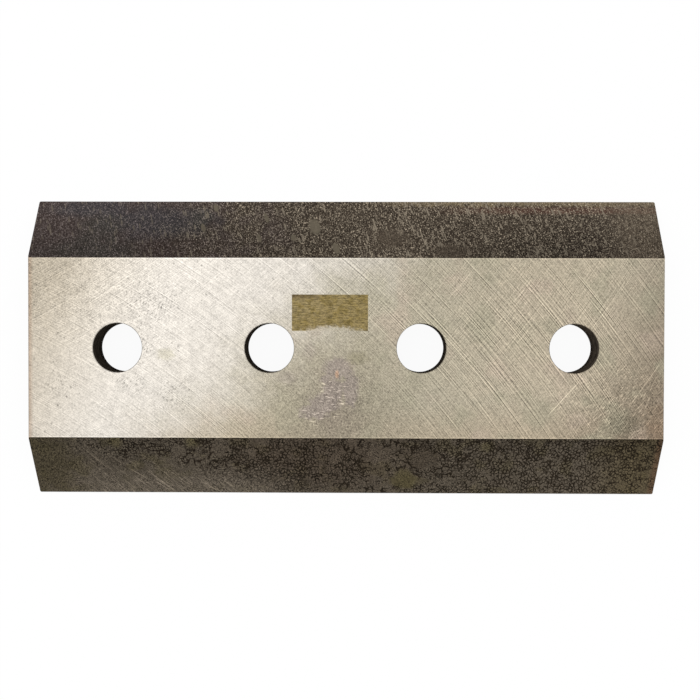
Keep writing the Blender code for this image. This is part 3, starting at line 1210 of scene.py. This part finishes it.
ring_shares = [share**RING_CROWDING for share in even_steps(0.0, 1.0, RING_STEPS)]
for hole_x in hole_centres:
    for share_a, share_b in zip(ring_shares, ring_shares[1:]):
        for z, finish, spot_of in (
            (thickness, land, lambda x, y: on_front(x, land_middle - front_foot + y)),
            (0.0, back, on_back),
        ):
            rows = [ring(share) for share in (share_a, share_b)]
            places = [[(hole_x + x, y, z) for x, y in row] for row in rows]
            map_spots = [[spot_of(hole_x + x, y) for x, y in row] for row in rows]
            add_strip(*places, *map_spots, finish)
print("faces with the fields:", len(faces))

# %% Skin the bores
BORE_STEPS = 8

rim_break = rim_radius - bore_radius
sleeve = [(rim_radius, thickness)]
sleeve += [(bore_radius, z) for z in even_steps(thickness - rim_break, rim_break, BORE_STEPS)]
sleeve.append((rim_radius, 0.0))
bore_column = 2 * half_length * BACK_SCALE + MARGIN + BORE_GAP
sleeve_height = thickness * BORE_SCALE + 2 * EDGE_ROOM

for number, hole_x in enumerate(hole_centres):
    foot = back_foot + number * (sleeve_height + SLEEVE_GAP)
    heights = [foot + EDGE_ROOM + z * BORE_SCALE for radius, z in sleeve]
    heights[0] += EDGE_ROOM
    heights[-1] -= EDGE_ROOM
    rows, map_rows = [], []
    for (radius, z), height in zip(sleeve, heights):
        circle = [on_circle(index, radius) for index in range(AROUND + 1)]
        rows.append([(hole_x + x, y, z) for x, y in circle])
        step = 2 * math.pi * bore_radius / AROUND * BORE_SCALE
        map_rows.append([((bore_column + step * k) / SHEET, height / SHEET) for k in range(AROUND + 1)])
    for k in range(len(rows) - 1):
        rim = k in (0, len(rows) - 2)
        add_strip(rows[k], rows[k + 1], map_rows[k], map_rows[k + 1], land if rim else bore)
print("faces with the bores:", len(faces))

# %% [markdown]
# ### Ends
#
# Each end is one strip between the last points of the front and those of the back. The end is flat, so one
# row of faces is enough, and it shares all its points with its neighbours, or the skin would not close.

# %% Skin the ends
def on_end(place, shift):
    across = (place[1] + half_width) * END_SCALE + shift
    return (across / SHEET, (end_foot + place[2] * END_SCALE) / SHEET)


for side in (-1, 1):
    shift = MARGIN if side < 0 else MARGIN + 2 * half_width * END_SCALE + END_GAP
    border = [front_point(side * half_length, row) for row in range(len(profile))]
    foot = [back_point(side * half_length, row) for row in range(len(profile))]
    add_strip(border, foot, [on_end(p, shift) for p in border], [on_end(p, shift) for p in foot], end)
print("faces in all:", len(faces), "points:", len(points))

# %% [markdown]
# ## Closing the skin
#
# The faces become a mesh. Blender then turns all of them outwards, which only works on a closed skin, so the
# number of open edges is printed and has to be 0. Edges sharper than 6 degrees are marked sharp: the flats
# stay flat up to their borders, and only the bores, whose 96 facets meet at under 4 degrees, shade as round.

# %% Make the knife
SHARP_ABOVE = 6.0

mesh = bpy.data.meshes.new("knife_plate")
mesh.from_pydata(points, [], faces)
bake_map = mesh.uv_layers.new(name="OFBake")
bake_map.data.foreach_set("uv", [value for spot in spots for value in spot])
mesh.polygons.foreach_set("material_index", face_finish)
for finish in FINISHES:
    mesh.materials.append(finish.material)

skin = bmesh.new()
skin.from_mesh(mesh)
bmesh.ops.recalc_face_normals(skin, faces=skin.faces)
open_edges = sum(len(edge.link_faces) != 2 for edge in skin.edges)
volume = skin.calc_volume(signed=True) / MM**3
skin.to_mesh(mesh)
skin.free()
mesh.shade_smooth()
mesh.set_sharp_from_angle(angle=math.radians(SHARP_ABOVE))

knife = bpy.data.objects.new("knife_plate", mesh)
bpy.context.collection.objects.link(knife)
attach(knife, "root")
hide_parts("chipper_knife")
print(f"open edges {open_edges}, volume {volume:.0f} cubic mm, faces {len(mesh.polygons)}")

# %% [markdown]
# ## Bench top and light
#
# The knife lies on a plain white top in a plain white studio, which is how a cut-out photograph looks. The
# top is lit like any other surface and so keeps the knife's shadow. Lit alone it would look grey at its far
# side, so most of what the camera and the steel's own reflections see of it is a plain white glow. One large
# lamp from the upper left gives the scratches a light and a dark side.

# %% The white studio
WHITE = (1.0, 1.0, 1.0)

world = bpy.data.worlds.new("white_studio")
world.use_nodes = True
bpy.context.scene.world = world
background = world.node_tree.nodes["Background"]
background.inputs["Color"].default_value = (*WHITE, 1.0)
background.inputs["Strength"].default_value = 1.0
print("world:", world.name)

# %% The bench top
TOP_SIZE = 3.0
TOP_HEIGHT = -0.0001
TOP_GREY = 0.95
GLOW_SHARE = 0.94


def seen_directly(bench):
    """1 for camera, glossy and transmission rays, 0 for the rays that only carry light."""
    path = bench.tree.nodes.new("ShaderNodeLightPath").outputs
    rays = [Signal(bench, path[name]) for name in ("Is Camera Ray", "Is Glossy Ray", "Is Transmission Ray")]
    return bench.math("MINIMUM", rays[0] + rays[1] + rays[2], 1.0)


top_mesh = bpy.data.meshes.new("bench_top")
half = TOP_SIZE / 2
corners = [(x, y, TOP_HEIGHT) for x, y in ((-half, -half), (half, -half), (half, half), (-half, half))]
top_mesh.from_pydata(corners, [], [(0, 1, 2, 3)])
bench_top = bpy.data.objects.new("bench_top", top_mesh)
bpy.context.collection.objects.link(bench_top)

white = bpy.data.materials.new("white_top")
white.use_nodes = True
top = Bench(white.node_tree)
lit = white.node_tree.nodes["Principled BSDF"]
lit.inputs["Base Color"].default_value = (TOP_GREY, TOP_GREY, TOP_GREY, 1.0)
lit.inputs["Roughness"].default_value = 0.9
lit.inputs["Specular IOR Level"].default_value = 0.0
glow = top.put("ShaderNodeEmission", {"Color": WHITE, "Strength": 1.0})
mixed = top.put("ShaderNodeMixShader", {0: seen_directly(top) * GLOW_SHARE})
mixer = mixed.socket.node
white.node_tree.links.new(lit.outputs[0], mixer.inputs[1])
white.node_tree.links.new(glow.socket, mixer.inputs[2])
surface = white.node_tree.nodes["Material Output"].inputs["Surface"]
white.node_tree.links.new(mixer.outputs[0], surface)
top_mesh.materials.append(white)
print("bench top:", TOP_SIZE, "m wide")

# %% The lamp
LAMP_WIDTH = 0.6
LAMP_POWER = 1.0
LAMP_PLACE = (-0.36, 0.10, 1.10)

lamp_data = bpy.data.lights.new("window_lamp", "AREA")
lamp_data.shape = "DISK"
lamp_data.size = LAMP_WIDTH
lamp_data.energy = LAMP_POWER
lamp = bpy.data.objects.new("window_lamp", lamp_data)
lamp.location = LAMP_PLACE
lamp.rotation_euler = (-lamp.location).to_track_quat("-Z", "Y").to_euler()
bpy.context.collection.objects.link(lamp)
bpy.context.scene.view_settings.view_transform = "Standard"
print("lamp:", lamp_data.energy, "W")

# %% [markdown]
# ## The last step
#
# The view layer is updated once more.

# %% Update the view layer
bpy.context.view_layer.update()
